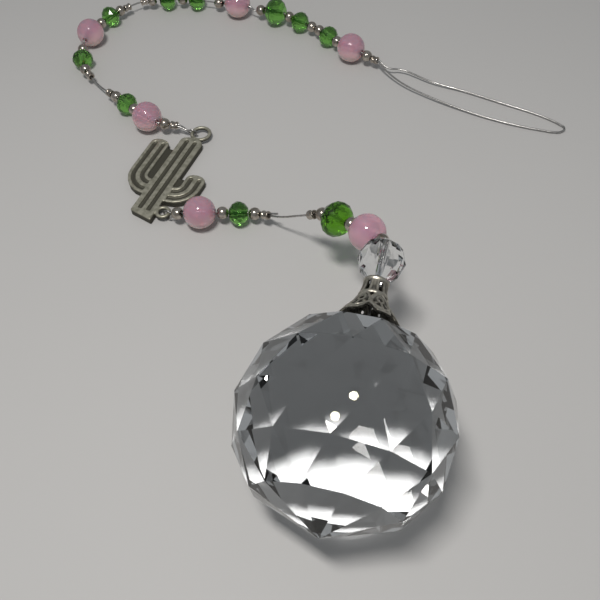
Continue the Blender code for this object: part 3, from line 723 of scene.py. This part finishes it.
def bellReach(level):
    # how far from its axis the cap's bell is, level 0 at the rim and 1 at the neck's top
    shares = ((0.0, 1.0), (0.16, 0.68), (0.33, 0.37), (0.54, 0.13), (0.76, 0.02), (1.0, 0.0))
    share = 0.0
    for (low, lowShare), (high, highShare) in zip(shares, shares[1:]):
        if low <= level <= high:
            share = lowShare + (highShare - lowShare) * (level - low) / (high - low)
            break
    return cap["neck"] + (cap["rim"] - cap["neck"]) * share


def onBell(angle, level):
    # the middle of a bar that lies flush in the bell
    reach = bellReach(level) - cap["stem"]
    return Vector((reach * math.cos(angle), reach * math.sin(angle), level * cap["height"])) * mm


def drawBars(curve):
    # the raised bars of the openwork: two rings, the neck's posts, and each petal's pattern
    thin = cap["thin"] / cap["stem"]

    def bar(points, thickness=1.0, closed=False):
        line = addPolyline(curve, points)
        for knot in line.points:
            knot.radius = thickness
        line.use_cyclic_u = closed

    for level in (cap["neckRing"], cap["waistRing"]):
        around = [math.tau * index / cap["ringSteps"] for index in range(cap["ringSteps"])]
        bar([onBell(angle, level) for angle in around], 1.0, True)
    for post in range(cap["posts"]):
        angle = math.tau * (post + 0.5) / cap["posts"]
        levels = (cap["waistRing"], cap["postBend"], cap["neckRing"])
        bar([onBell(angle, level) for level in levels], thin)
    step = math.tau / cap["petals"]
    for petal in range(cap["petals"]):
        middle = petal * step
        outline = []
        for index in range(cap["petalSteps"] + 1):
            share = index / cap["petalSteps"]
            swell = math.sin(math.pi * min(share * cap["petalClose"], 1.0))
            spread = swell ** cap["petalFullness"] * step * 0.5
            outline.append((spread, cap["petalTop"] - cap["petalReach"] * share))
        left = [onBell(middle - spread, level) for spread, level in outline]
        right = [onBell(middle + spread, level) for spread, level in outline]
        bar(left + right[-2::-1])
        bar([onBell(middle, level) for level in (cap["petalTop"], cap["crownFoot"])], thin)
        eyeRing = []
        for index in range(cap["eyeSteps"]):
            turn = math.tau * index / cap["eyeSteps"]
            eyeRing.append(onBell(
                middle + cap["eyeWide"] * math.sin(turn), cap["eye"] + cap["eyeTall"] * math.cos(turn)))
        bar(eyeRing, thin, True)
        bar([onBell(middle, level) for level in cap["stalk"]], thin)
        for side in (-1, 1):
            scroll = []
            for index in range(cap["scrollSteps"] + 1):
                turn = math.pi * index / cap["scrollSteps"]
                scroll.append(onBell(
                    middle + side * (cap["scrollOut"] + cap["scrollWide"] * math.sin(turn)),
                    cap["scroll"] + cap["scrollTall"] * math.cos(turn)))
            bar(scroll, thin)


def markPaintedShade(work, pose):
    # 1 on the raised bars and less on the sunk sheet between them, for the painted shade
    paintedShadeMask = work.data.attributes.new("paintedShadeMask", "FLOAT", "POINT")
    back = pose.inverted()
    for vert, value in zip(work.data.vertices, paintedShadeMask.data):
        spot = back @ vert.co / mm
        level = min(max(spot.z / cap["height"], 0.0), 1.0)
        sunk = bellReach(level) - math.hypot(spot.x, spot.y)
        bare = (cap["recess"] + cap["paintedShadeBelow"] - sunk) / cap["paintedShadeFade"]
        value.value = min(max(bare, 0.0), 1.0)


def openworkCap():
    # the bars and the cap's own sheet, set back between them, cast into one mesh
    curve = newCurve("openwork", cap["stem"] * mm, 2)
    drawBars(curve)
    work = meshFromCurve("openworkCap", curve)
    startEdit()
    bpy.ops.mesh.select_all(action="SELECT")
    bpy.ops.mesh.remove_doubles(threshold=barWeld)
    endEdit()
    pose = Matrix(cap["turn"]).to_4x4()
    pose.translation = Vector(cap["place"]) * mm
    work.data.transform(pose)
    sheet = copyOfNode("capSheet", "filigree_cap")
    applyModifier(sheet, "DISPLACE", strength=-cap["recess"] * mm, mid_level=0.0)
    work.select_set(True)
    bpy.context.view_layer.objects.active = work
    bpy.ops.object.join()
    applyModifier(work, "REMESH", mode="VOXEL", voxel_size=cap["voxel"])
    applyModifier(work, "SMOOTH", factor=0.5, iterations=cap["softening"])
    bpy.ops.object.shade_smooth()
    markPaintedShade(work, pose)
    work.data.materials.clear()
    work.data.materials.append(capSilver)
    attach(work, "root")
    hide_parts("filigree_cap")
    print("cap made:", len(work.data.polygons), "faces")


openworkCap()

for node, finish in (("crystal_ball", crystal), ("clear_bead", clearGlass)):
    for slot in nodes[node].material_slots:
        slot.material = finish

studio = {
    "tableSize": 4.0,
    "tablePlace": (0, 0.6, -0.0001),
    "tableRoughness": 0.6,
    "tableColour": (0.56, 0.552, 0.545),
    "tableShade": 0.985,  # its faint clouds are darker by this factor
    "tableClouds": 14,
    "skyColour": (0.90, 0.94, 0.97),
    "skyStrength": 0.25,
    "softbox": 0.92,  # watts
    "softboxPlace": (-0.058, -0.034, 0.38),
    "softboxTarget": (0.0, 0.04, 0.0),
    "softboxSize": (0.11, 0.045),
    "softboxColour": (1.0, 0.975, 0.94),
    "ceilingLamp": 0.008,
    "ceilingPlaces": ((-0.0503, 0.0007, 0.6356), (-0.0696, -0.0162, 0.6331)),
    "ceilingTarget": (0, 0, 0.02),
    "ceilingSize": (0.0085, 0.0085),
    "ceilingColour": (1.0, 0.95, 0.72),
    "gathered": 0.024,  # light that the ball gathers on the table under it
    "gatheredPlace": (0.0005, -0.0028, 0.019),
    "gatheredCone": 61,  # degrees
    "gatheredBlend": 0.50,
    "gatheredSize": 0.0005,
    "bounces": 3,  # after these the softbox's and the gathered light stop
}

bpy.ops.object.select_all(action="DESELECT")
bpy.ops.mesh.primitive_grid_add(
    x_subdivisions=6, y_subdivisions=6, size=studio["tableSize"], location=studio["tablePlace"])
tableTop = bpy.context.object
tableTop.name = "tableTop"
tableFinish, tree, shader = newFinish("paleTable", Roughness=studio["tableRoughness"])
noise = addNoise(tree, studio["tableClouds"], 3.0)
low = tuple(value * studio["tableShade"] for value in studio["tableColour"])
ramp = addRamp(tree, noise.outputs["Fac"], ((0.3, low), (0.7, studio["tableColour"])))
tree.links.new(ramp.outputs["Color"], shader.inputs["Base Color"])
tableTop.data.materials.append(tableFinish)

bpy.context.scene.view_settings.view_transform = "Standard"
sky = bpy.data.worlds.new("studioSky")
bpy.context.scene.world = sky
sky.use_nodes = True
backdrop = sky.node_tree.nodes["Background"]
backdrop.inputs["Color"].default_value = (*studio["skyColour"], 1.0)
backdrop.inputs["Strength"].default_value = studio["skyStrength"]


def addLamp(name, place, target, size, power, colour):
    bpy.ops.object.light_add(type="AREA", location=place)
    lamp = bpy.context.object
    lamp.name = name
    lamp.data.shape = "RECTANGLE"
    lamp.data.size, lamp.data.size_y = size
    lamp.data.energy = power
    lamp.data.color = colour
    lamp.rotation_euler = (Vector(target) - Vector(place)).to_track_quat("-Z", "Y").to_euler()
    return lamp


softbox = addLamp(
    "softbox", studio["softboxPlace"], studio["softboxTarget"], studio["softboxSize"],
    studio["softbox"], studio["softboxColour"])
softbox.data.cycles.max_bounces = studio["bounces"]
for name, place in zip(("ceilingLampA", "ceilingLampB"), studio["ceilingPlaces"]):
    small = addLamp(
        name, place, studio["ceilingTarget"], studio["ceilingSize"], studio["ceilingLamp"],
        studio["ceilingColour"])
    small.data.shape = "ELLIPSE"
# the bright patch under the ball, made by a lamp inside it that points down and throws no shadow
bpy.ops.object.light_add(type="SPOT", location=studio["gatheredPlace"])
gathered = bpy.context.object
gathered.name = "gatheredLight"
gathered.data.energy = studio["gathered"]
gathered.data.spot_size = math.radians(studio["gatheredCone"])
gathered.data.spot_blend = studio["gatheredBlend"]
gathered.data.shadow_soft_size = studio["gatheredSize"]
gathered.data.use_shadow = False
gathered.visible_glossy = False
gathered.data.cycles.max_bounces = studio["bounces"]
print("studio set")
